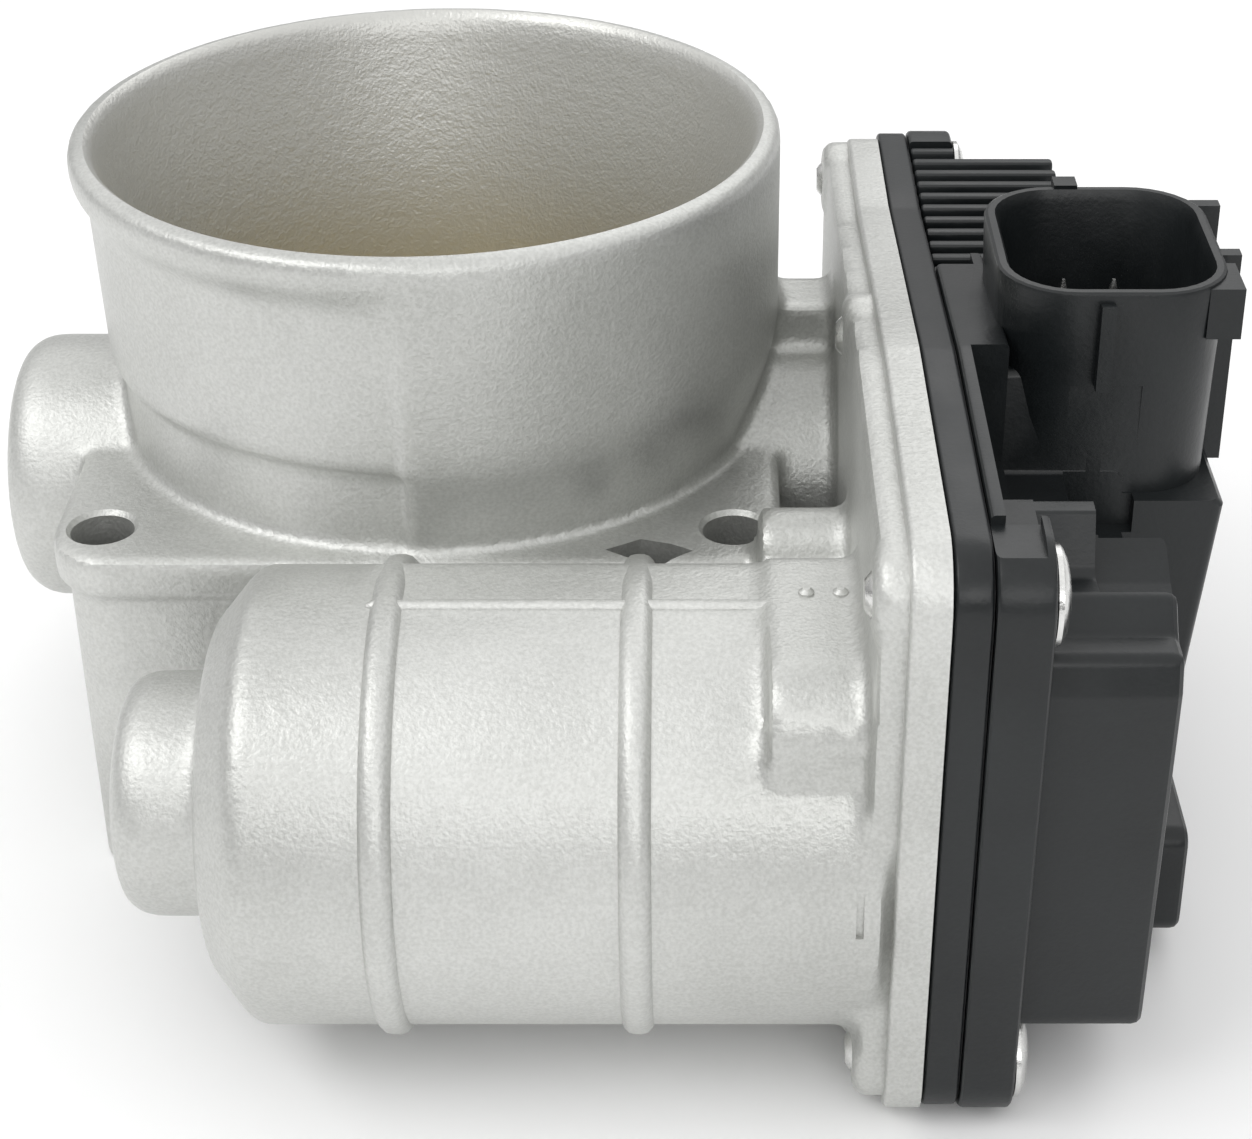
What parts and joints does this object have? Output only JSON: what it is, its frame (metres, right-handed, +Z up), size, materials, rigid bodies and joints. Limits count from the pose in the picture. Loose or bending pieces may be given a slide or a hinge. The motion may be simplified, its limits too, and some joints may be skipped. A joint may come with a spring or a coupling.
{
  "type": "electronic throttle body",
  "caption": "Cast intake throttle body with a hose spigot over a bolt flange, a disc valve on a cross shaft, a side motor housing, and a black gear case with a plug socket.",
  "frame": {"origin": "centre of the bore on the manifold face, which the part stands on", "axes": "+Z up the bore to the hose end, +X along the throttle shaft to the gear case, -Y towards the motor"},
  "size_m": [0.1307, 0.1182, 0.0733],
  "materials": {
    "cast_aluminium": "fine blasted casting",
    "black_plastic": "satin moulded",
    "black_rubber": "matt",
    "zinc_steel": "bright zinc plate",
    "bearing_steel": "ground",
    "brass": "rolled",
    "gear_plastic": "natural moulded",
    "sheet_steel": "drawn and pressed",
    "copper": "enamelled wire and turned copper",
    "carbon": "pressed carbon",
    "ferrite": "sintered",
    "board": "lacquered"
  },
  "bodies": {
    "body": {"throttle_body_casting": "cast_aluminium", "gear_cover": "black_plastic", "gear_case_frame": "black_plastic", "brush_holder": "black_plastic", "left_shaft_seal": "black_rubber", "right_shaft_seal": "black_rubber", "cover_seal": "black_rubber", "bearing_end_plug": "zinc_steel", "default_stop_screw": "zinc_steel", "motor_screw_1": "zinc_steel", "motor_screw_2": "zinc_steel", "cover_screw_1": "zinc_steel", "cover_screw_2": "zinc_steel", "cover_screw_3": "zinc_steel", "cover_screw_4": "zinc_steel", "cover_screw_5": "zinc_steel", "terminal_pin_1": "zinc_steel", "terminal_pin_2": "zinc_steel", "terminal_pin_3": "zinc_steel", "terminal_pin_4": "zinc_steel", "terminal_pin_5": "zinc_steel", "terminal_pin_6": "zinc_steel", "needle_bearing": "bearing_steel", "ball_bearing_outer_ring": "bearing_steel", "idler_pin": "bearing_steel", "motor_rear_bush": "brass", "motor_front_bush": "brass", "motor_contact_front": "brass", "motor_contact_rear": "brass", "motor_can": "sheet_steel", "motor_wave_spring": "sheet_steel", "motor_end_bracket": "sheet_steel", "return_spring": "sheet_steel", "default_lever": "sheet_steel", "motor_brush_front": "carbon", "motor_brush_rear": "carbon", "motor_magnet_upper": "ferrite", "motor_magnet_lower": "ferrite", "sensor_board": "board"},
    "throttle": {"throttle_shaft": "bearing_steel", "throttle_plate": "brass", "plate_screw_1": "zinc_steel", "plate_screw_2": "zinc_steel", "ball_bearing_inner_ring": "bearing_steel", "throttle_gear": "gear_plastic", "gear_nut": "zinc_steel", "sensor_magnet": "ferrite"},
    "intermediate": {"intermediate_gear": "gear_plastic"},
    "motor_rotor": {"motor_shaft": "bearing_steel", "motor_pinion": "brass", "armature_core": "sheet_steel", "armature_winding": "copper", "commutator": "copper"}
  },
  "joints": [
    {"name": "motor_spin", "type": "hinge", "parent": "body", "child": "motor_rotor", "pos_m": [0, -0.0565, 0.0253], "axis": [-1, 0, 0], "range_deg": [-105, 1365], "stiffness_Nm_per_rad": 0.0007},
    {"name": "throttle_turn", "type": "hinge", "parent": "body", "child": "throttle", "pos_m": [0, 0, 0.0313], "axis": [-1, 0, 0], "range_deg": [-6.01, 78.01]},
    {"name": "intermediate_spin", "type": "hinge", "parent": "body", "child": "intermediate", "pos_m": [0, -0.03073, 0.02804], "axis": [-1, 0, 0], "range_deg": [-325.01, 25.01]}
  ],
  "couplings": [
    {"joint": "throttle_turn", "follows": "motor_spin", "ratio": 0.057143},
    {"joint": "intermediate_spin", "follows": "motor_spin", "ratio": -0.2381}
  ]
}
